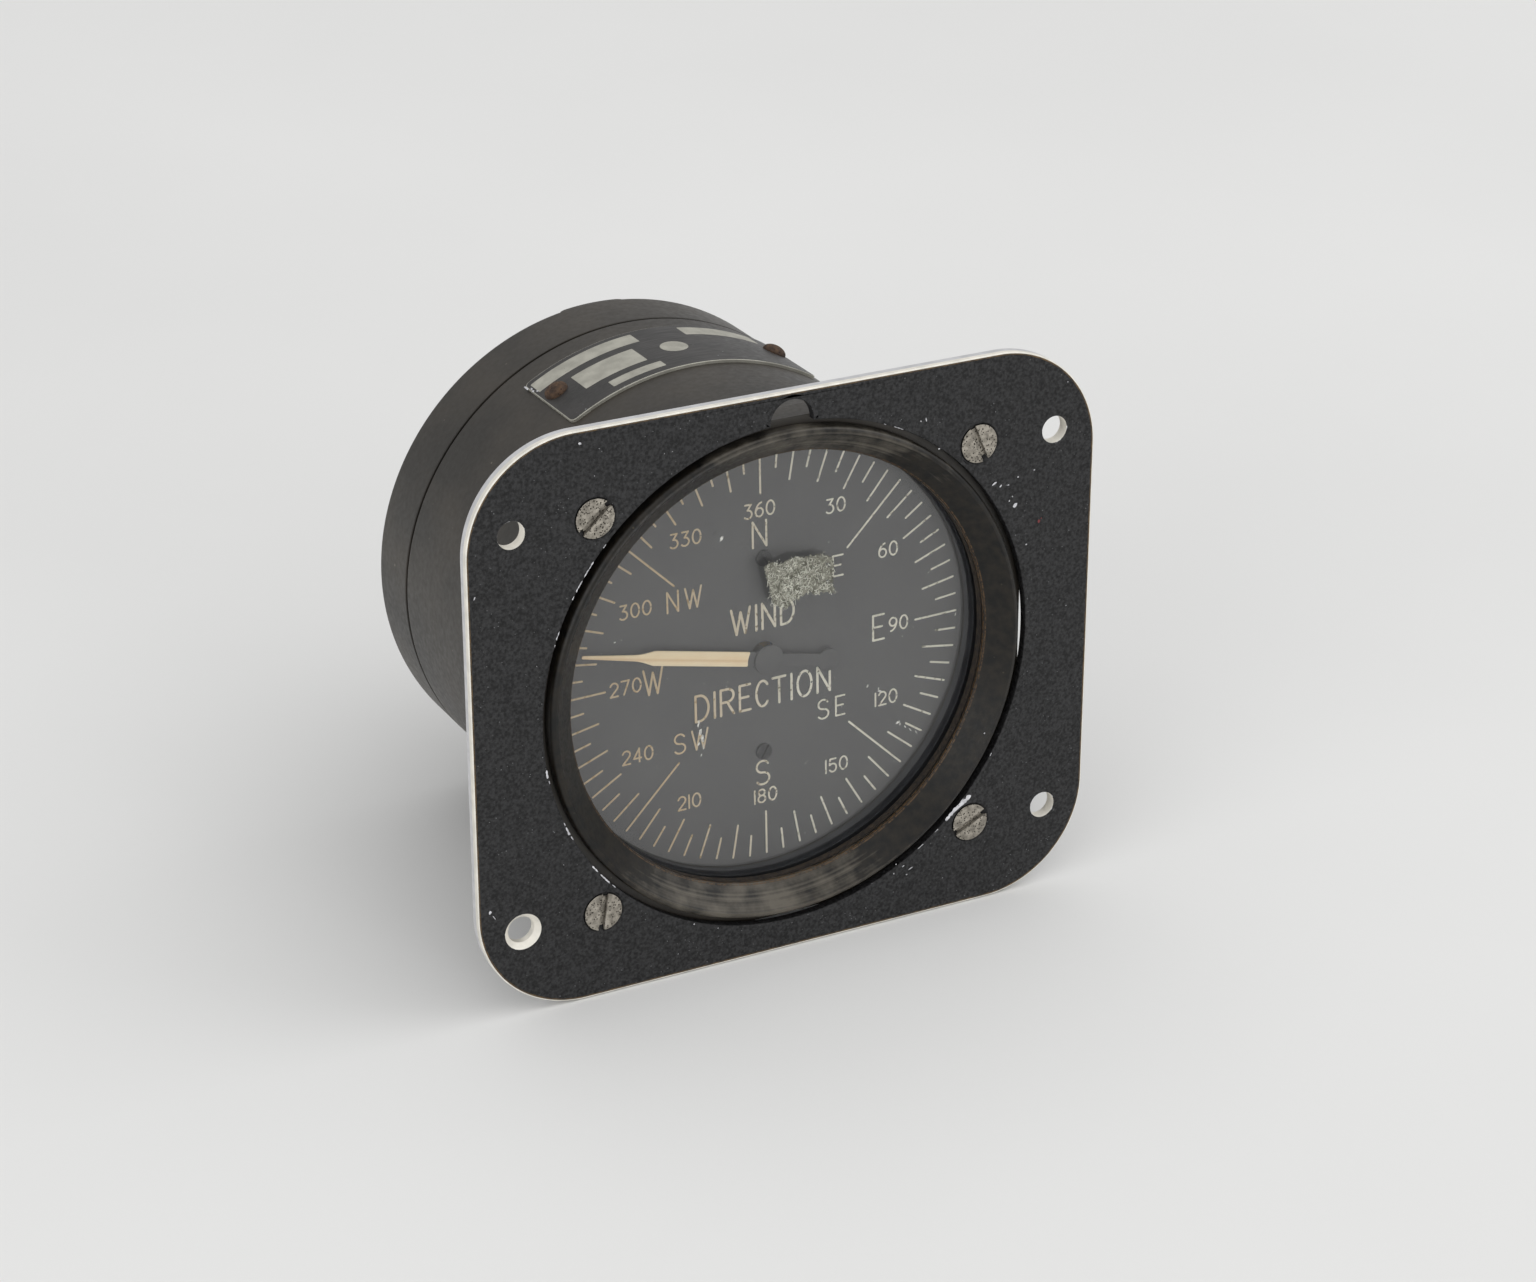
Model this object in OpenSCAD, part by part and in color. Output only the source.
// Wind direction indicator: a round remote-reading dial instrument held in a flat adapter plate.
// X is to the right and Z is up as the dial is read. Y runs into the case, along the pointer's spindle.
// The origin is the centre of the adapter plate's rear face, where it lies against a panel.

/* [Case] */
// Outside diameter of the barrel
case_d = 78.2; // [74:0.1:84]
// Wall of the barrel and of the rear cap
case_wall = 1.6; // [1.2:0.1:2.2]
// How far the front collar and the bezel stand out past the barrel
collar_step = 0.15; // [0.1:0.05:0.6]
// Length of the front collar
collar_len = 7.7; // [6:0.1:12]
// Length of the barrel behind the adapter plate
case_len = 51.6; // [50:0.1:70]
// Width of the ledge inside the barrel that carries the movement
ledge_w = 2.6; // [2.4:0.1:3.4]
// Length of that ledge
ledge_len = 3.5; // [2.5:0.1:6]
// Distance of the case screws outside the collar
screw_reach = 5.2; // [4.6:0.1:8]
// How far the flat sides of the case's mounting flange stand out past the collar
mount_side = 1.15; // [0.8:0.05:3]
// Metal between a threaded insert and the corner of the mounting flange
mount_land = 3.2; // [2:0.1:5]
// Thickness of the mounting flange
mount_t = 5; // [4:0.1:8]

/* [Adapter plate] */
// Thickness of the plate
plate_t = 2; // [1.6:0.1:4]
// Gap between the collar and the plate's large hole
plate_gap = 1.1; // [0.5:0.1:1.6]
// Bevel around the rear edge of the large hole
hole_bevel = 0.6; // [0.3:0.05:0.7]
// Width of metal beside the large hole
plate_side = 11.15; // [10:0.05:16]
// Width of metal above and below the large hole
plate_top = 4.75; // [4:0.05:9]
// Radius of the plate's corners
plate_corner_r = 17; // [10:0.5:22]
// Diameter of the four panel screw holes
panel_hole_d = 4.2; // [3:0.1:5]
// Distance of the panel screw holes from the sides
panel_inset_side = 7.05; // [5:0.05:9]
// Distance of the panel screw holes from the top and bottom
panel_inset_top = 13.7; // [11:0.1:17]
// Mouth of the one countersunk panel screw hole
sink_d = 5.8; // [5:0.1:6.6]
// Width of the round notch at the top of the large hole
notch_w = 7; // [5:0.1:9]
// Metal left above the notch
notch_land = 1.2; // [0.8:0.1:2.5]

/* [Case screws] */
// Thread diameter of the case screws
case_screw_d = 3.6; // [3:0.1:4]
// Diameter of the countersunk heads
case_head_d = 6.2; // [5.4:0.1:6.6]
// Outside diameter of the threaded inserts in the mounting flange
insert_d = 5.8; // [5.4:0.1:6.6]
// Width of every screwdriver slot in a case screw
case_slot_w = 0.9; // [0.6:0.05:1.2]
// Depth of those slots
case_slot_depth = 0.7; // [0.4:0.05:1]

/* [Bezel and glass] */
// How far the bezel's crest stands in front of the plate
bezel_stand = 0.5; // [0.2:0.1:3]
// Radius of the bezel's rounded outer lip
lip_r = 1.05; // [0.6:0.05:1.5]
// Depth of the bezel's throat behind the plate's front face
throat_depth = 2.9; // [2:0.1:5]
// Length of the straight throat
throat_land = 1; // [0.6:0.1:2]
// How far the throat reaches in past the dial ledge
throat_lip = 0.2; // [0.1:0.05:1]
// Thickness of the front gasket
gasket_t = 1.3; // [0.8:0.1:2]
// Thickness of the glass
glass_t = 2; // [1.5:0.1:3]
// Length of the dark sleeve between the glass and the dial
mask_len = 2.8; // [2.4:0.1:6]
// Free play around the glass, mask and bezel spigot
bore_play = 0.1; // [0.05:0.05:0.3]

/* [Dial] */
// Thickness of the dial
dial_t = 1; // [0.6:0.1:1.6]
// Gap around the dial
dial_gap = 0.15; // [0.1:0.05:0.4]
// Distance of the ticks' outer ends from the dial's edge
tick_margin = 1.25; // [0.8:0.05:3]
// Length of the ticks at every 5 degrees
tick_short = 3.65; // [2.5:0.05:5]
// Length of the ticks at every 10 degrees
tick_mid = 5.7; // [5:0.1:7]
// Length of the ticks at north, east, south and west
tick_main = 7.4; // [6:0.1:9]
// Length of the ticks halfway between those
tick_diagonal = 13.1; // [9:0.1:14]
// Width of a tick
tick_w = 0.36; // [0.2:0.02:0.6]
// Thickness of the printed marks
print_t = 0.06; // [0.04:0.01:0.12]
// Turn of the printed marks on the dial in degrees clockwise
dial_turn = -1; // [-5:0.5:5]
// Distance of the two dial screws from the centre
dial_screw_z = 15.9; // [12:0.1:19]
// Diameter of the dial screw heads
dial_head_d = 2.6; // [2:0.1:3.4]

/* [Pointer] */
// Bearing at which the pointer rests
pointer_bearing = 282.5; // [0:0.5:359.5]
// Gap between the pointer's tip circle and the ticks' outer ends
pointer_short = 2.1; // [0.5:0.1:8]
// Width of the broad blade
blade_w = 2.35; // [1.6:0.05:3.2]
// Distance from the centre at which the pale blade starts
blade_start = 3.3; // [3:0.1:5]
// Length of the broad part of the blade
blade_len = 15.6; // [10:0.1:20]
// Length of the shoulder between blade and needle
shoulder_len = 1.8; // [0.8:0.1:3]
// Width of the needle at the shoulder
needle_w = 0.95; // [0.6:0.05:1.3]
// Width of the needle at its tip
tip_w = 0.5; // [0.3:0.05:0.6]
// Length of the tail from the centre
tail_len = 12.3; // [9:0.1:14]
// Width of the tail
tail_w = 1.9; // [1:0.05:2.2]
// Diameter of the round end of the tail
tail_end_d = 3.6; // [2.4:0.1:4.6]
// Diameter of the hub's front disc
hub_d = 4.8; // [4.4:0.1:6]
// Thickness of the hub's front disc
hub_disc_t = 0.4; // [0.2:0.05:0.5]
// Thickness of the pointer strip
pointer_t = 0.35; // [0.3:0.05:0.6]
// Thickness of the pale coating on the blade
lume_t = 0.2; // [0.1:0.05:0.3]
// Gap between the pointer strip and the dial
pointer_lift = 1.35; // [1:0.05:1.5]

/* [Movement] */
// Thickness of the front and rear bearing plates
frame_t = 3; // [2.4:0.1:4]
// Distance between the two bearing plates
frame_span = 25.5; // [25:0.1:29]
// Diameter of the pillars between the plates
pillar_d = 5; // [4.6:0.1:6]
// Distance of the pillars' centres inside the barrel wall
pillar_inset = 6; // [5:0.1:7]
// Diameter of the spindle at the pointer end
spindle_d = 2; // [1.6:0.1:2.4]
// Running clearance of the spindle in its bush
bush_play = 0.05; // [0.02:0.01:0.09]
// Diameter of the rear pivot
pivot_d = 0.8; // [0.6:0.05:1.2]
// Distance of the stator core outside the pillars' inner side
clamp_depth = 4; // [3.6:0.1:5]
// Radial width of the stator core
core_w = 9; // [7:0.1:10]
// Length of the stator core
core_len = 12; // [9:0.1:13]
// Thickness of the winding around the core
coil_t = 3; // [2:0.1:3.2]
// Angle that each of the three windings covers
coil_angle = 84; // [60:1:90]
// Metal of a stator clamp on each side of its pillar
clamp_wall = 1.5; // [1:0.1:2.5]
// How far the rotor's bush stands out past each end of the magnet
rotor_bush_over = 2; // [1.5:0.1:3]
// Thickness of the balance weight
weight_t = 1.5; // [1:0.1:2.4]
// Diameter of the balance weight's round end
weight_d = 4; // [2.5:0.1:4.6]
// Distance of the weight's round end from the spindle's axis
weight_reach = 8.6; // [6:0.1:9]
// Wall of the copper damping cup
cup_wall = 1.2; // [0.8:0.1:1.6]
// Air gap on each side of the cup's wall
cup_gap = 0.8; // [0.5:0.1:1.2]

/* [Rear] */
// Width of the gasket seam between the barrel and the rear cap
seam_gap = 0.6; // [0.4:0.1:1.2]
// How far the seam gasket lies below the surface
seam_sink = 0.4; // [0.2:0.1:0.8]
// Length of the rear cap's visible band
cap_len = 10.4; // [9:0.1:16]
// Thickness of the rear cap's end wall
cap_end_t = 2; // [1.5:0.1:3]
// Length of the cap's spigot inside the barrel
spigot_len = 4.5; // [3:0.1:6]
// Distance of the cap screws from the centre
cap_screw_r = 26; // [24:0.1:29]
// Width of the index tab on the rear rim
tab_w = 10.6; // [6:0.1:16]
// Height of the index tab
tab_h = 0.7; // [0.4:0.1:1.5]

/* [Connector] */
// Outside diameter of the connector barrel
plug_d = 19; // [17:0.1:22]
// Inside diameter of the connector barrel
plug_bore = 16; // [14:0.1:16.6]
// Length of the connector barrel behind its flange
plug_len = 13; // [12:0.1:18]
// Side of the square flange
flange_w = 26; // [24.5:0.1:30]
// Thickness of the flange
flange_t = 2; // [1.5:0.1:3]
// Diameter of a contact pin
pin_d = 1.6; // [1.2:0.1:2]
// Length of a contact pin in the barrel
pin_len = 6; // [4:0.1:7]
// Distance of the contacts from the centre
pin_r = 4; // [3.4:0.1:5]
// Diameter of a lead
lead_d = 1.2; // [0.8:0.1:1.6]

/* [Nameplate] */
// Thickness of the curved nameplate
name_t = 0.5; // [0.3:0.05:0.8]
// Width of the nameplate across its chord angle
name_angle = 63; // [50:1:70]
// Length of the nameplate along the barrel
name_len = 17.5; // [14:0.1:20]
// Distance of the nameplate's front edge behind the adapter plate
name_y = 28.8; // [14:0.1:30]
// Distance of each nameplate screw from its end, in degrees
name_screw_inset = 3.5; // [3:0.1:5]
// Diameter of the nameplate screw heads
name_head_d = 3.8; // [3:0.1:4.2]

/* [Hidden] */
$fn = 96;
// How far a cutting shape runs past the face that it cuts
cut = 0.5;
// Gap between parts that move past each other without touching
air = 0.3;

// Radii that follow from the barrel
case_r = case_d / 2;
case_in_r = case_r - case_wall;
collar_r = case_r + collar_step;
ledge_r = case_in_r - ledge_w;
dial_r = ledge_r - dial_gap;
throat_r = ledge_r - throat_lip;
glass_r = case_in_r - 4 * bore_play;
spigot_r = case_in_r - bore_play;
plate_hole_r = collar_r + plate_gap;
pillar_r = case_in_r - pillar_inset;
core_r = pillar_r - pillar_d / 2 - clamp_depth;
core_in_r = core_r - core_w;
coil_r = core_r + coil_t;
coil_in_r = core_in_r - coil_t;
cup_r = coil_in_r - cup_gap;
cup_in_r = cup_r - cup_wall;
magnet_r = cup_in_r - cup_gap - air;
frame_r = case_in_r - 2 * bore_play;
frame_rim = 0.5;
rear_frame_r = pillar_r + pillar_d / 2 + frame_rim;

// Places along the axis, from the front to the rear
front_y = -plate_t;
crest_y = front_y - bezel_stand;
throat_y = front_y + throat_depth;
bezel_back_y = throat_y + throat_land;
glass_y = bezel_back_y + gasket_t;
mask_y = glass_y + glass_t;
dial_y = mask_y + mask_len;
dial_back_y = dial_y + dial_t;
ledge_back_y = dial_y + ledge_len;
frame_y = ledge_back_y;
frame_back_y = frame_y + frame_t;
rear_y = frame_back_y + frame_span;
rear_back_y = rear_y + frame_t;
core_y = (frame_back_y + rear_y - core_len) / 2;
coil_y = core_y - coil_t;
coil_back_y = core_y + core_len + coil_t;
cap_y = case_len + seam_gap;
cap_back_y = cap_y + cap_len;
cap_in_y = cap_back_y - cap_end_t;

// Plate outline and the places of its holes
plate_w = 2 * (plate_hole_r + plate_side);
plate_h = 2 * (plate_hole_r + plate_top);
panel_x = plate_w / 2 - panel_inset_side;
panel_z = plate_h / 2 - panel_inset_top;
notch_z = plate_h / 2 - notch_land - notch_w / 2;
screw_xz = (collar_r + screw_reach) / sqrt(2);
mount_half = collar_r + mount_side;
// The corner radius that leaves the named land outside each insert, measured on the diagonal
mount_tip = collar_r + screw_reach + insert_d / 2 + mount_land;
mount_corner_r = (mount_half * sqrt(2) - mount_tip) / (sqrt(2) - 1);
// The four corners in order: upper left, upper right, lower right, lower left
CORNERS = [[-1, 1], [1, 1], [1, -1], [-1, -1]];
// How each case screw's slot came to stand, in degrees
SLOT_TURNS = [42, -67, 26, 82];
// Clearance around a screw in a plain hole
screw_play = 0.1;
// How far each case screw comes out behind the mounting flange
case_screw_out = 2;
case_screw_len = plate_t + mount_t + case_screw_out;

// Pointer heights
strip_back_y = dial_y - pointer_lift;
strip_y = strip_back_y - pointer_t;
eye_wall = 1.3;
eye_r = spindle_d / 2 + eye_wall;
// How far the strip lies inside the pale coating's edge
strip_inset = 0.1;
pointer_len = dial_r - tick_margin - pointer_short;
tail_end_z = tail_len - tail_end_d / 2;
dial_hole_r = spindle_d / 2 + 4 * air;

// Spindle steps, bushes and the rear jewel
seat_step = 0.5;
bush_wall = 2;
bush_step = 1;
bush_out = 1;
rotor_bush_wall = 1.5;
pivot_len = 1.8;
pivot_room = 0.8;
jewel_wall = 0.9;
jewel_len = 2.4;
jewel_hole_len = 1.6;
jewel_screw_wall = 1.5;
jewel_screw_out = 3;
locknut_wall = 2.2;
locknut_t = 1.6;
spindle_r = spindle_d / 2;
rotor_seat_r = spindle_r + seat_step;
bush_r = spindle_r + bush_wall;
rotor_bush_r = rotor_seat_r + rotor_bush_wall;
pivot_r = pivot_d / 2;
jewel_r = pivot_r + jewel_wall;
jewel_screw_r = jewel_r + jewel_screw_wall;
seat_y = frame_back_y + bush_out + air;
seat_back_y = rear_y - pivot_room;
weight_back_y = core_y - rotor_bush_over;

// Screws and spacers of the movement: shank radii, head radii and head heights
dial_head_t = 0.5;
dial_thread = 1.5;
dial_pillar_r = 2.1;
pillar_screw_r = 1.25;
pillar_head_r = 2.2;
pillar_head_t = 1.2;
pillar_thread = 5;
move_screw_r = 0.8;
move_head_r = 1.15;
move_head_t = 1;
move_circle_r = ledge_r + ledge_w / 2;
// Gap between a screw's tip and the bottom of its hole
tip_gap = 0.5;
clamp_inset = 2;
cup_over = 1;
cup_flange_w = 3;
cup_flange_t = 1;

// Terminal board, its tags and the leads
board_r = 20;
board_in_r = 8;
board_t = 1.6;
board_gap = 3;
board_screw_r = 1;
board_head_r = 1.9;
board_head_t = 1;
board_spacer_r = 2.2;
board_circle_r = (board_r + board_in_r) / 2;
board_y = rear_back_y + board_gap;
board_back_y = board_y + board_t;
tag_circle_r = 16;
tag_w = 3;
tag_len = 5;
tag_t = 0.4;
tag_pin_r = 0.8;
tag_back_y = board_back_y + tag_t;

// Rear cap, its screws and the connector
standoff_r = 3;
standoff_thread = 6;
tie_r = 1.5;
cap_edge = 0.6;
cap_head_r = 2.8;
cap_head_t = 1.8;
tab_turn = -2.2;
neck_wall = 1;
neck_r = plug_bore / 2 + neck_wall;
insert_in = 1;
insert_face = 1.4;
contact_cup_len = 2.6;
contact_cup_wall = 0.4;
contact_cup_y = cap_in_y - insert_in - contact_cup_len;
insert_back_y = cap_back_y + flange_t + insert_face;
flange_corner_r = 2.5;
flange_inset = 3.4;
flange_screw_xz = flange_w / 2 - flange_inset;
flange_screw_r = 1.25;
flange_head_r = 2.2;
flange_head_t = 1.4;
nut_r = 2.9;
nut_t = 1.8;
nut_out = 0.4;
lead_r = lead_d / 2;
// The leads bend as wide as they like, or as the room between tag and contact allows
lead_bend = min(2 * lead_d, (contact_cup_y - tag_back_y) / 2 - air);
lead_run_y = contact_cup_y - lead_bend;

// Nameplate screws
name_screw_r = 0.9;
name_screw_place = 0.58;
name_dome = 0.3;
name_screw_y = name_y + name_len * name_screw_place;
name_screw_a = name_angle / 2 - name_screw_inset;

// Revolves a profile of [radius, place along Y] points about the axis
module turned() rotate([-90, 0, 0]) rotate_extrude() children();

// Revolves the same kind of profile through part of a turn, between two bearings
module turned_arc(from, to) rotate([-90, 0, 0]) rotate([0, 0, from - 90])
    rotate_extrude(angle = to - from) children();

// A flat ring or sleeve on the axis
module sleeve(r_in, r_out, y0, y1) turned() translate([r_in, y0]) square([r_out - r_in, y1 - y0]);

// Extrudes a shape drawn as seen from the front, between two places along Y
module slab(y0, y1) translate([0, y1, 0]) rotate([90, 0, 0]) linear_extrude(y1 - y0) children();

// A round rod along Y
module peg(x, z, r, y0, y1) translate([x, y0, z]) rotate([-90, 0, 0]) cylinder(r = r, h = y1 - y0);

// A cone along Y
module taper(x, z, r0, r1, y0, y1) translate([x, y0, z]) rotate([-90, 0, 0])
    cylinder(r1 = r0, r2 = r1, h = y1 - y0);

// Turns a piece drawn at twelve o'clock to a bearing, clockwise as seen from the front
module bearing(a) rotate([0, a, 0]) children();

// A cheese-head screw along Y whose head lies in front of y and whose shank runs back
module front_screw(x, z, r, head_r, head_t, y, len, slot) difference() {
    union() {
        peg(x, z, head_r, y - head_t, y);
        peg(x, z, r, y, y + len);
    }
    translate([x, y - head_t, z]) rotate([0, slot, 0])
        cube([2 * head_r + cut, head_t, head_r * 0.3], center = true);
}

// The same screw facing the rear
module rear_screw(x, z, r, head_r, head_t, y, len, slot) translate([0, 2 * y, 0]) mirror([0, 1, 0])
    front_screw(x, z, r, head_r, head_t, y, len, slot);

// A rounded rectangle without hulls, so that its arcs stay true
module rounded_rect(w, h, r) {
    square([w - 2 * r, h], center = true);
    square([w, h - 2 * r], center = true);
    for (c = CORNERS) translate([c[0] * (w / 2 - r), c[1] * (h / 2 - r)]) circle(r);
}

module case_screw_shape(c, play) {
    x = c[0] * screw_xz;
    z = c[1] * screw_xz;
    depth = (case_head_d - case_screw_d) / 2;
    taper(x, z, case_head_d / 2 + play, case_screw_d / 2 + play, front_y, front_y + depth);
    peg(x, z, case_screw_d / 2 + play, front_y, front_y + case_screw_len);
}

module mounting_plate() color("#2d2d2f") difference() {
    slab(front_y, 0) difference() {
        rounded_rect(plate_w, plate_h, plate_corner_r);
        circle(plate_hole_r);
        translate([0, notch_z]) circle(notch_w / 2);
        translate([-notch_w / 2, 0]) square([notch_w, notch_z]);
        for (c = CORNERS) translate([c[0] * panel_x, c[1] * panel_z]) circle(panel_hole_d / 2);
    }
    for (c = CORNERS) {
        case_screw_shape(c, screw_play);
        translate([0, -cut, 0]) peg(c[0] * screw_xz, c[1] * screw_xz, case_head_d / 2 + screw_play,
            front_y, front_y + cut);
    }
    taper(0, 0, plate_hole_r, plate_hole_r + hole_bevel + cut, -hole_bevel, cut);
    sunk = CORNERS[3];
    taper(sunk[0] * panel_x, sunk[1] * panel_z, sink_d / 2 + cut, panel_hole_d / 2,
        front_y - cut, front_y + (sink_d - panel_hole_d) / 2);
}

module case_screws() color("#a59b8c") for (i = [0 : 3]) difference() {
    case_screw_shape(CORNERS[i], 0);
    translate([CORNERS[i][0] * screw_xz, front_y, CORNERS[i][1] * screw_xz]) rotate([0, -SLOT_TURNS[i], 0])
        cube([case_head_d + cut, 2 * case_slot_depth, case_slot_w], center = true);
}

module flange_inserts() color("#b08d4c") for (c = CORNERS) difference() {
    peg(c[0] * screw_xz, c[1] * screw_xz, insert_d / 2, 0, mount_t);
    peg(c[0] * screw_xz, c[1] * screw_xz, case_screw_d / 2, -cut, mount_t + cut);
}

module case_body() color("#4a4742") difference() {
    union() {
        turned() polygon([
            [case_in_r, 0], [collar_r, 0], [collar_r, collar_len], [case_r, collar_len + collar_step],
            [case_r, case_len], [case_in_r, case_len], [case_in_r, ledge_back_y], [ledge_r, ledge_back_y],
            [ledge_r, dial_y], [case_in_r, dial_y]
        ]);
        difference() {
            slab(0, mount_t) rounded_rect(2 * mount_half, 2 * mount_half, mount_corner_r);
            peg(0, 0, case_in_r, -cut, mount_t + cut);
        }
    }
    for (c = CORNERS) peg(c[0] * screw_xz, c[1] * screw_xz, insert_d / 2, -cut, mount_t + cut);
    for (a = [60 : 120 : 300]) bearing(a)
        peg(0, move_circle_r, move_screw_r, dial_y - cut, ledge_back_y + cut);
    for (a = [-1, 1]) bearing(a * name_screw_a) translate([0, name_screw_y, case_in_r - cut])
        cylinder(r = name_screw_r, h = case_wall + 2 * cut);
}

module bezel_ring() color("#1f1e1d") turned() polygon(concat(
    [[throat_r, throat_y], [collar_r - lip_r, crest_y]],
    [for (a = [75 : -15 : 0]) [collar_r - lip_r + lip_r * cos(a), crest_y + lip_r - lip_r * sin(a)]],
    [[collar_r, 0], [spigot_r, 0], [spigot_r, bezel_back_y], [throat_r + throat_lip, bezel_back_y],
     [throat_r + throat_lip, throat_y + throat_land / 2], [throat_r, throat_y + throat_land / 2]]
));

module front_gasket() color("#6b4a30") sleeve(ledge_r, glass_r, bezel_back_y, glass_y);

module window_glass() color([0.8, 0.85, 0.85, 0.3]) slab(glass_y, mask_y) circle(glass_r);

module dial_mask() color("#3a3a3c") sleeve(ledge_r, spigot_r, mask_y, dial_y);

module dial() color("#606061") difference() {
    slab(dial_y, dial_back_y) circle(dial_r);
    peg(0, 0, dial_hole_r, dial_y - cut, dial_back_y + cut);
    for (s = [-1, 1]) peg(0, s * dial_screw_z, dial_head_d / 4, dial_y - cut, dial_back_y + cut);
}

function tick_len(a) = a % 90 == 0 ? tick_main : a % 45 == 0 ? tick_diagonal
    : a % 10 == 0 ? tick_mid : tick_short;

module dial_marks() color("#d7c3a0") for (a = [0 : 5 : 355])
    bearing(a + dial_turn) translate([-tick_w / 2, dial_y - print_t, dial_r - tick_margin - tick_len(a)])
        cube([tick_w, print_t, tick_len(a)]);

module dial_screws() color("#2b2a2a") for (s = [-1, 1])
    front_screw(0, s * dial_screw_z, dial_head_d / 4, dial_head_d / 2, dial_head_t, dial_y,
        dial_t + dial_thread, 60 * s);

module dial_pillars() color("#b5b2aa") for (s = [-1, 1]) difference() {
    peg(0, s * dial_screw_z, dial_pillar_r, dial_back_y, frame_y);
    peg(0, s * dial_screw_z, dial_head_d / 4, dial_back_y - cut, dial_back_y + dial_thread);
}

// Half of the pointer's outline drawn towards twelve o'clock, taken in by a margin
function blade_side(margin) = [
    [blade_w / 2 - margin, blade_start],
    [blade_w / 2 - margin, blade_start + blade_len],
    [needle_w / 2 - margin, blade_start + blade_len + shoulder_len],
    [tip_w / 2 - margin, pointer_len - margin]
];

module blade_outline(margin) polygon(concat(
    blade_side(margin), [for (i = [3 : -1 : 0]) [-blade_side(margin)[i][0], blade_side(margin)[i][1]]]
));

module pointer() color("#3c3c3d") bearing(pointer_bearing) slab(strip_y, strip_back_y) difference() {
    union() {
        blade_outline(strip_inset);
        translate([-tail_w / 2, -tail_end_z]) square([tail_w, tail_end_z + blade_start + 1]);
        translate([0, -tail_end_z]) circle(tail_end_d / 2);
        circle(eye_r);
    }
    circle(spindle_r);
}

module pointer_lume() color("#ecd7aa") bearing(pointer_bearing)
    slab(strip_y - lume_t, strip_y) blade_outline(0);

module pointer_hub() color("#3c3c3d") turned() polygon([
    [spindle_r, strip_y - hub_disc_t], [hub_d / 2, strip_y - hub_disc_t], [hub_d / 2, strip_y],
    [spindle_r, strip_y]
]);

module spindle() color("#c3c3c0") turned() polygon([
    [0, strip_y - hub_disc_t], [spindle_r, strip_y - hub_disc_t], [spindle_r, seat_y], [rotor_seat_r, seat_y],
    [rotor_seat_r, seat_back_y], [pivot_r, seat_back_y], [pivot_r, seat_back_y + pivot_len],
    [0, seat_back_y + pivot_len]
]);

// The weight hangs on the tail's side and balances the blade
module balance_weight() color("#b08d4c") bearing(pointer_bearing)
    slab(weight_back_y - weight_t, weight_back_y) difference() {
        union() {
            circle(rotor_bush_r);
            translate([-rotor_seat_r, -weight_reach]) square([2 * rotor_seat_r, weight_reach]);
            translate([0, -weight_reach]) circle(weight_d / 2);
        }
        circle(rotor_seat_r);
    }

module rotor_magnet() color("#55565a") sleeve(rotor_bush_r, magnet_r, core_y, core_y + core_len);

module rotor_bush() color("#b08d4c")
    sleeve(rotor_seat_r, rotor_bush_r, core_y - rotor_bush_over, core_y + core_len + rotor_bush_over);

module front_bearing_plate() color("#a9abad") difference() {
    slab(frame_y, frame_back_y) circle(frame_r);
    peg(0, 0, bush_r, frame_y - cut, frame_back_y + cut);
    for (a = [0 : 120 : 240]) bearing(a)
        peg(0, pillar_r, pillar_screw_r, frame_y - cut, frame_back_y + cut);
    for (a = [60 : 120 : 300]) bearing(a)
        peg(0, move_circle_r, move_screw_r, frame_y - cut, frame_back_y + cut);
}

module front_bush() color("#b08d4c") turned() polygon([
    [spindle_r + bush_play, frame_y - bush_out], [bush_r - bush_step, frame_y - bush_out],
    [bush_r - bush_step, frame_y], [bush_r, frame_y], [bush_r, frame_back_y],
    [bush_r - bush_step, frame_back_y], [bush_r - bush_step, frame_back_y + bush_out],
    [spindle_r + bush_play, frame_back_y + bush_out]
]);

module rear_bearing_plate() color("#a9abad") difference() {
    slab(rear_y, rear_back_y) circle(rear_frame_r);
    peg(0, 0, jewel_screw_r, rear_y - cut, rear_back_y + cut);
    for (a = [0 : 120 : 240]) bearing(a) peg(0, pillar_r, pillar_screw_r, rear_y - cut, rear_back_y + cut);
    for (a = [60 : 120 : 300]) bearing(a) {
        peg(0, cap_screw_r, tie_r, rear_y - cut, rear_back_y + cut);
        peg(0, board_circle_r, board_screw_r, rear_y - cut, rear_back_y + cut);
    }
}

module rear_jewel() color("#a83248") difference() {
    peg(0, 0, jewel_r, rear_y, rear_y + jewel_len);
    peg(0, 0, pivot_r + bush_play, rear_y - cut, rear_y + jewel_hole_len);
}

module jewel_screw() color("#b08d4c") difference() {
    peg(0, 0, jewel_screw_r, rear_y, rear_back_y + jewel_screw_out);
    peg(0, 0, jewel_r, rear_y - cut, rear_y + jewel_len);
    translate([0, rear_back_y + jewel_screw_out, 0])
        cube([2 * jewel_screw_r + cut, 2 * case_slot_depth, case_slot_w], center = true);
}

module jewel_locknut() color("#b08d4c") difference() {
    slab(rear_back_y, rear_back_y + locknut_t) circle(jewel_screw_r + locknut_wall, $fn = 6);
    peg(0, 0, jewel_screw_r, rear_back_y - cut, rear_back_y + locknut_t + cut);
}

module movement_pillars() color("#b5b2aa") for (a = [0 : 120 : 240]) bearing(a) difference() {
    peg(0, pillar_r, pillar_d / 2, frame_back_y, rear_y);
    peg(0, pillar_r, pillar_screw_r, frame_back_y - cut, frame_back_y + pillar_thread);
    peg(0, pillar_r, pillar_screw_r, rear_y - pillar_thread, rear_y + cut);
}

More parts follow.
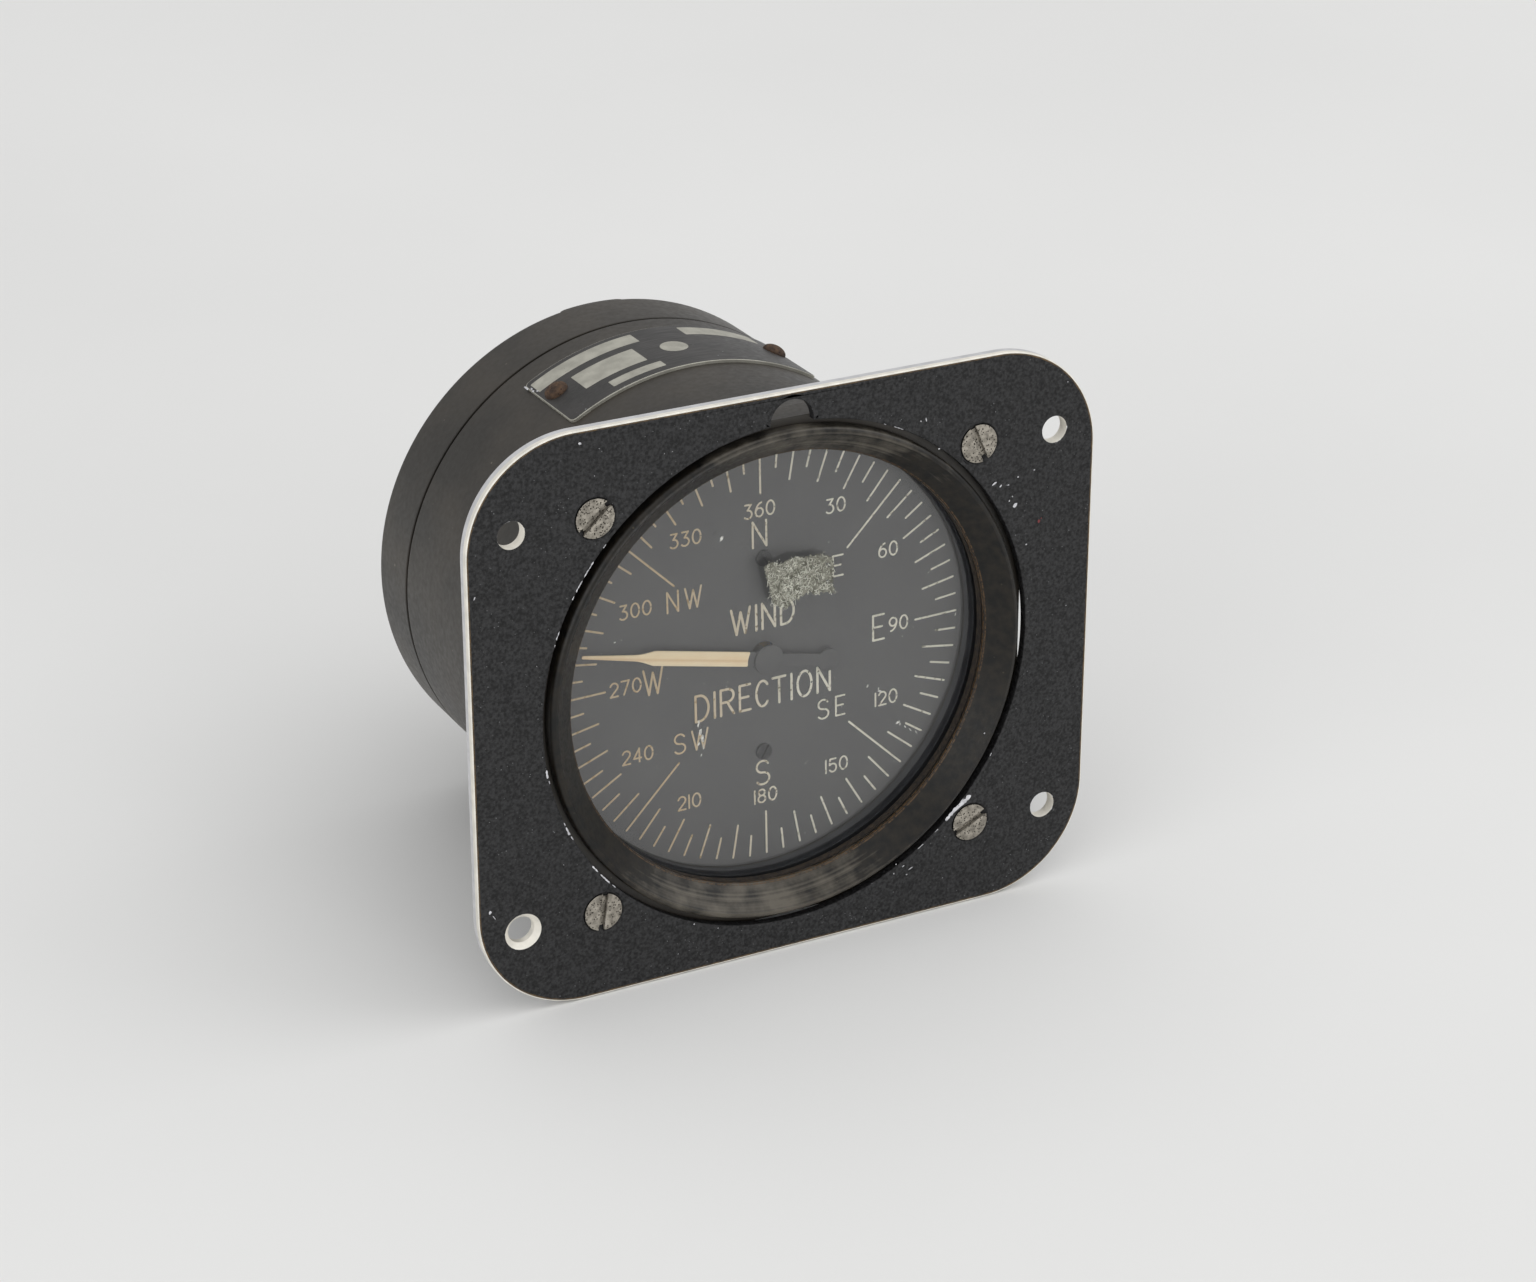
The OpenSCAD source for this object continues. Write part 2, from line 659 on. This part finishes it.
module pillar_screws() color("#8f8a80") for (a = [0 : 120 : 240]) bearing(a) {
    front_screw(0, pillar_r, pillar_screw_r, pillar_head_r, pillar_head_t, frame_y,
        frame_t + pillar_thread - tip_gap, a + 20);
    rear_screw(0, pillar_r, pillar_screw_r, pillar_head_r, pillar_head_t, rear_back_y,
        frame_t + pillar_thread - tip_gap, a - 35);
}

module movement_screws() color("#8f8a80") for (a = [60 : 120 : 300]) bearing(a)
    rear_screw(0, move_circle_r, move_screw_r, move_head_r, move_head_t, frame_back_y,
        frame_t + ledge_len - tip_gap, a);

module stator_core() color("#6e6f72") sleeve(core_in_r, core_r, core_y, core_y + core_len);

module stator_windings() color("#8c4a25") for (a = [60 : 120 : 300])
    turned_arc(a - coil_angle / 2, a + coil_angle / 2) difference() {
        translate([coil_in_r, coil_y]) square([coil_r - coil_in_r, coil_back_y - coil_y]);
        translate([core_in_r, core_y]) square([core_w, core_len]);
    }

module stator_clamps() color("#a9abad") for (a = [0 : 120 : 240]) bearing(a) difference() {
    translate([-pillar_d / 2 - clamp_wall, core_y + clamp_inset, core_r - clamp_wall])
        cube([pillar_d + 2 * clamp_wall, core_len - 2 * clamp_inset, pillar_r - core_r + clamp_wall]);
    peg(0, 0, core_r, core_y, core_y + core_len);
    peg(0, pillar_r, pillar_d / 2, core_y, core_y + core_len);
}

module damping_cup() color("#a5623a") turned() polygon([
    [cup_in_r, core_y - cup_over], [cup_r, core_y - cup_over], [cup_r, rear_y - cup_flange_t],
    [cup_r + cup_flange_w, rear_y - cup_flange_t], [cup_r + cup_flange_w, rear_y], [cup_in_r, rear_y]
]);

module terminal_board() color("#6d4a2f") difference() {
    slab(board_y, board_back_y) circle(board_r);
    peg(0, 0, board_in_r, board_y - cut, board_back_y + cut);
    for (a = [60 : 120 : 300]) bearing(a)
        peg(0, board_circle_r, board_screw_r, board_y - cut, board_back_y + cut);
    for (a = [0 : 120 : 240]) bearing(a)
        peg(0, tag_circle_r, tag_pin_r, board_y - cut, board_back_y + cut);
}

module board_spacers() color("#b5b2aa") for (a = [60 : 120 : 300]) bearing(a) difference() {
    peg(0, board_circle_r, board_spacer_r, rear_back_y, board_y);
    peg(0, board_circle_r, board_screw_r, rear_back_y - cut, board_y + cut);
}

module board_screws() color("#8f8a80") for (a = [60 : 120 : 300]) bearing(a)
    rear_screw(0, board_circle_r, board_screw_r, board_head_r, board_head_t, board_back_y,
        board_t + board_gap + frame_t, a + 15);

module terminal_tags() color("#c2b48a") for (a = [0 : 120 : 240]) bearing(a) {
    slab(board_back_y, tag_back_y) translate([-tag_w / 2, tag_circle_r - tag_len / 2])
        square([tag_w, tag_len]);
    peg(0, tag_circle_r, tag_pin_r, board_y, board_back_y);
}

// A lead lies in one radial plane: straight off its tag, in towards the centre, and on to its contact
module lead_wire() {
    peg(0, tag_circle_r, lead_r, tag_back_y, lead_run_y - lead_bend);
    translate([0, lead_run_y - lead_bend, tag_circle_r - lead_bend]) rotate([0, -90, 0])
        rotate_extrude(angle = 90) translate([lead_bend, 0]) circle(lead_r, $fn = 24);
    translate([0, lead_run_y, pin_r + lead_bend])
        cylinder(r = lead_r, h = tag_circle_r - pin_r - 2 * lead_bend);
    translate([0, lead_run_y + lead_bend, pin_r + lead_bend]) rotate([0, -90, 0])
        rotate([0, 0, 180]) rotate_extrude(angle = 90) translate([lead_bend, 0]) circle(lead_r, $fn = 24);
}

module lead_wires() color("#7a2f2a") for (a = [0 : 120 : 240]) bearing(a) lead_wire();

module cap_standoffs() color("#b5b2aa") for (a = [60 : 120 : 300]) bearing(a) difference() {
    union() {
        peg(0, cap_screw_r, standoff_r, rear_back_y, cap_in_y);
        peg(0, cap_screw_r, tie_r, rear_y, rear_back_y);
    }
    peg(0, cap_screw_r, tie_r, cap_in_y - standoff_thread, cap_in_y + cut);
}

module cap_gasket() color("#191818") sleeve(spigot_r, case_r - seam_sink, case_len, cap_y);

module rear_cap() color("#4a4742") difference() {
    union() {
        turned() polygon(concat(
            [[0, cap_in_y], [case_in_r - case_wall, cap_in_y],
             [case_in_r - case_wall, case_len - spigot_len], [spigot_r, case_len - spigot_len],
             [spigot_r, cap_y], [case_r, cap_y]],
            [for (a = [0 : 15 : 90])
                [case_r - cap_edge * (1 - cos(a)), cap_back_y - cap_edge * (1 - sin(a))]],
            [[0, cap_back_y]]
        ));
        bearing(tab_turn) intersection() {
            sleeve(case_in_r, case_r - cap_edge / 3, cap_back_y - cap_edge, cap_back_y + tab_h);
            translate([-tab_w / 2, cap_back_y - cap_edge, 0]) cube([tab_w, cap_edge + tab_h, case_r]);
        }
    }
    peg(0, 0, neck_r + screw_play, cap_in_y - cut, cap_back_y + cut);
    for (a = [60 : 120 : 300]) bearing(a)
        peg(0, cap_screw_r, tie_r + screw_play, cap_in_y - cut, cap_back_y + cut);
    for (c = CORNERS) peg(c[0] * flange_screw_xz, c[1] * flange_screw_xz, flange_screw_r + screw_play,
        cap_in_y - cut, cap_back_y + cut);
}

module cap_screws() color("#8f8a80") for (a = [60 : 120 : 300]) bearing(a)
    rear_screw(0, cap_screw_r, tie_r, cap_head_r, cap_head_t, cap_back_y,
        cap_end_t + standoff_thread - 2 * tip_gap, 2 * a);

module connector_shell() color("#5c5d5a") difference() {
    union() {
        slab(cap_back_y, cap_back_y + flange_t) rounded_rect(flange_w, flange_w, flange_corner_r);
        peg(0, 0, plug_d / 2, cap_back_y + flange_t, cap_back_y + flange_t + plug_len);
        peg(0, 0, neck_r, cap_in_y, cap_back_y + cut);
    }
    peg(0, 0, plug_bore / 2, cap_in_y - cut, cap_back_y + flange_t + plug_len + cut);
    for (c = CORNERS) peg(c[0] * flange_screw_xz, c[1] * flange_screw_xz, flange_screw_r + screw_play,
        cap_back_y - cut, cap_back_y + flange_t + cut);
}

module connector_insert() color("#2a2622") difference() {
    peg(0, 0, plug_bore / 2, cap_in_y - insert_in, insert_back_y);
    for (a = [0 : 120 : 240]) bearing(a)
        peg(0, pin_r, pin_d / 2, cap_in_y - insert_in - cut, insert_back_y + cut);
}

module connector_pins() color("#c9b37a") for (a = [0 : 120 : 240]) bearing(a) {
    peg(0, pin_r, pin_d / 2, cap_in_y - insert_in, insert_back_y + pin_len);
    peg(0, pin_r, pin_d / 2 + contact_cup_wall, contact_cup_y, cap_in_y - insert_in);
}

module connector_screws() color("#8f8a80") for (i = [0 : 3])
    rear_screw(CORNERS[i][0] * flange_screw_xz, CORNERS[i][1] * flange_screw_xz, flange_screw_r,
        flange_head_r, flange_head_t, cap_back_y + flange_t,
        flange_t + cap_end_t + nut_t + nut_out, 25 + 50 * i);

module connector_nuts() color("#b08d4c") for (c = CORNERS) difference() {
    slab(cap_in_y - nut_t, cap_in_y) translate([c[0] * flange_screw_xz, c[1] * flange_screw_xz])
        circle(nut_r, $fn = 6);
    peg(c[0] * flange_screw_xz, c[1] * flange_screw_xz, flange_screw_r,
        cap_in_y - nut_t - cut, cap_in_y + cut);
}

module nameplate() color("#3b3b3d") difference() {
    turned_arc(-name_angle / 2, name_angle / 2) translate([case_r, name_y]) square([name_t, name_len]);
    for (a = [-1, 1]) bearing(a * name_screw_a) translate([0, name_screw_y, case_in_r])
        cylinder(r = name_screw_r, h = case_wall + name_t + 2 * cut);
}

module nameplate_screws() color("#6e4b32") for (a = [-1, 1])
    bearing(a * name_screw_a) translate([0, name_screw_y, case_r + name_t]) {
        rotate_extrude() polygon(concat([[0, 0]],
            [for (t = [0 : 15 : 90]) [name_head_d / 2 * cos(t), name_head_d * name_dome * sin(t)]]));
        translate([0, 0, -name_t - case_wall]) cylinder(r = name_screw_r, h = name_t + case_wall);
    }

mounting_plate();
case_screws();
flange_inserts();
case_body();
bezel_ring();
front_gasket();
window_glass();
dial_mask();
dial();
dial_marks();
dial_screws();
dial_pillars();
pointer();
pointer_lume();
pointer_hub();
spindle();
balance_weight();
rotor_magnet();
rotor_bush();
front_bearing_plate();
front_bush();
rear_bearing_plate();
rear_jewel();
jewel_screw();
jewel_locknut();
movement_pillars();
pillar_screws();
movement_screws();
stator_core();
stator_windings();
stator_clamps();
damping_cup();
terminal_board();
board_spacers();
board_screws();
terminal_tags();
lead_wires();
cap_standoffs();
cap_gasket();
rear_cap();
cap_screws();
connector_shell();
connector_insert();
connector_pins();
connector_screws();
connector_nuts();
nameplate();
nameplate_screws();
